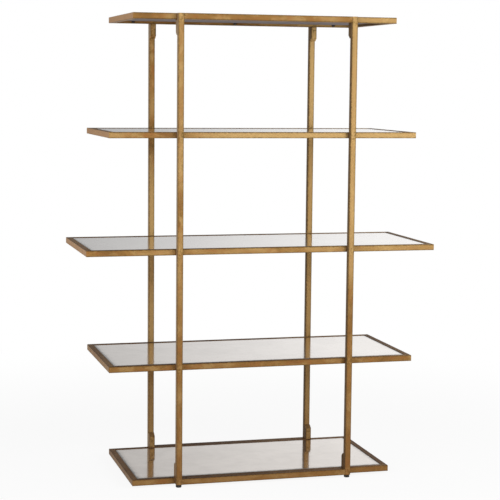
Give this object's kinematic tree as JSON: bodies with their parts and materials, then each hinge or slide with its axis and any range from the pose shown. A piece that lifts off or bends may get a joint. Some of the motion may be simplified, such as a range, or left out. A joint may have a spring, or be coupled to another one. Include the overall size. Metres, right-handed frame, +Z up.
{
  "type": "etagere",
  "caption": "Free-standing etagere: rectangular tube frames with inset mirrors, longest halfway up, held between a front and a rear hoop of square tube on levelling feet.",
  "frame": {"origin": "on the floor, midway between the four feet", "axes": "+X to the right seen from the front, +Y to the back, +Z up"},
  "size_m": [1.53, 0.6248, 1.9874],
  "materials": {
    "gilt_iron": "antiqued gold leaf over iron, with brown wear at the edges",
    "antique_mirror": "antiqued mirror, faintly mottled",
    "backing_board": "dark painted board",
    "black_steel": "black satin",
    "dark_steel": "blackened steel",
    "foot_black": "black moulded nylon"
  },
  "bodies": {
    "etagere": {"front_bottom_crossbar": "gilt_iron", "front_left_post": "gilt_iron", "front_right_post": "gilt_iron", "front_top_crossbar": "gilt_iron", "lower_stubs": "gilt_iron", "post_caps": "gilt_iron", "post_plugs": "foot_black", "rear_bottom_crossbar": "gilt_iron", "rear_left_post": "gilt_iron", "rear_right_post": "gilt_iron", "rear_top_crossbar": "gilt_iron", "shelf_1_board": "backing_board", "shelf_1_clips": "black_steel", "shelf_1_front_rail": "gilt_iron", "shelf_1_left_rail": "gilt_iron", "shelf_1_mirror": "antique_mirror", "shelf_1_rear_rail": "gilt_iron", "shelf_1_right_rail": "gilt_iron", "shelf_2_board": "backing_board", "shelf_2_clips": "black_steel", "shelf_2_front_rail": "gilt_iron", "shelf_2_left_rail": "gilt_iron", "shelf_2_mirror": "antique_mirror", "shelf_2_rear_rail": "gilt_iron", "shelf_2_right_rail": "gilt_iron", "shelf_3_board": "backing_board", "shelf_3_clips": "black_steel", "shelf_3_front_rail": "gilt_iron", "shelf_3_left_rail": "gilt_iron", "shelf_3_mirror": "antique_mirror", "shelf_3_rear_rail": "gilt_iron", "shelf_3_right_rail": "gilt_iron", "shelf_4_board": "backing_board", "shelf_4_clips": "black_steel", "shelf_4_front_rail": "gilt_iron", "shelf_4_left_rail": "gilt_iron", "shelf_4_mirror": "antique_mirror", "shelf_4_rear_rail": "gilt_iron", "shelf_4_right_rail": "gilt_iron", "shelf_5_board": "backing_board", "shelf_5_clips": "black_steel", "shelf_5_front_rail": "gilt_iron", "shelf_5_left_rail": "gilt_iron", "shelf_5_mirror": "antique_mirror", "shelf_5_rear_rail": "gilt_iron", "shelf_5_right_rail": "gilt_iron", "upper_stubs": "gilt_iron"},
    "front_left_foot_pad": {"front_left_foot_pad": "foot_black"},
    "front_right_foot_pad": {"front_right_foot_pad": "foot_black"},
    "rear_left_foot_pad": {"rear_left_foot_pad": "foot_black"},
    "rear_right_foot_pad": {"rear_right_foot_pad": "foot_black"},
    "front_left_foot_stem": {"front_left_foot_stem": "dark_steel"},
    "front_right_foot_stem": {"front_right_foot_stem": "dark_steel"},
    "rear_left_foot_stem": {"rear_left_foot_stem": "dark_steel"},
    "rear_right_foot_stem": {"rear_right_foot_stem": "dark_steel"}
  },
  "joints": [
    {"name": "front_left_foot_height", "type": "slide", "parent": "etagere", "child": "front_left_foot_pad", "axis": [0, 0, -1], "range_m": [0, 0.012]},
    {"name": "front_left_foot_turn", "type": "hinge", "parent": "front_left_foot_pad", "child": "front_left_foot_stem", "pos_m": [-0.375, -0.2997, 0.012], "axis": [0, 0, -1], "range_deg": [0, 3456]},
    {"name": "front_right_foot_height", "type": "slide", "parent": "etagere", "child": "front_right_foot_pad", "axis": [0, 0, -1], "range_m": [0, 0.012]},
    {"name": "front_right_foot_turn", "type": "hinge", "parent": "front_right_foot_pad", "child": "front_right_foot_stem", "pos_m": [0.375, -0.2997, 0.012], "axis": [0, 0, -1], "range_deg": [0, 3456]},
    {"name": "rear_left_foot_height", "type": "slide", "parent": "etagere", "child": "rear_left_foot_pad", "axis": [0, 0, -1], "range_m": [0, 0.012]},
    {"name": "rear_left_foot_turn", "type": "hinge", "parent": "rear_left_foot_pad", "child": "rear_left_foot_stem", "pos_m": [-0.375, 0.2997, 0.012], "axis": [0, 0, -1], "range_deg": [0, 3456]},
    {"name": "rear_right_foot_height", "type": "slide", "parent": "etagere", "child": "rear_right_foot_pad", "axis": [0, 0, -1], "range_m": [0, 0.012]},
    {"name": "rear_right_foot_turn", "type": "hinge", "parent": "rear_right_foot_pad", "child": "rear_right_foot_stem", "pos_m": [0.375, 0.2997, 0.012], "axis": [0, 0, -1], "range_deg": [0, 3456]}
  ],
  "couplings": [
    {"joint": "front_left_foot_turn", "follows": "front_left_foot_height", "rad_per_m": 5026.5},
    {"joint": "front_right_foot_turn", "follows": "front_right_foot_height", "rad_per_m": 5026.5},
    {"joint": "rear_left_foot_turn", "follows": "rear_left_foot_height", "rad_per_m": 5026.5},
    {"joint": "rear_right_foot_turn", "follows": "rear_right_foot_height", "rad_per_m": 5026.5}
  ]
}
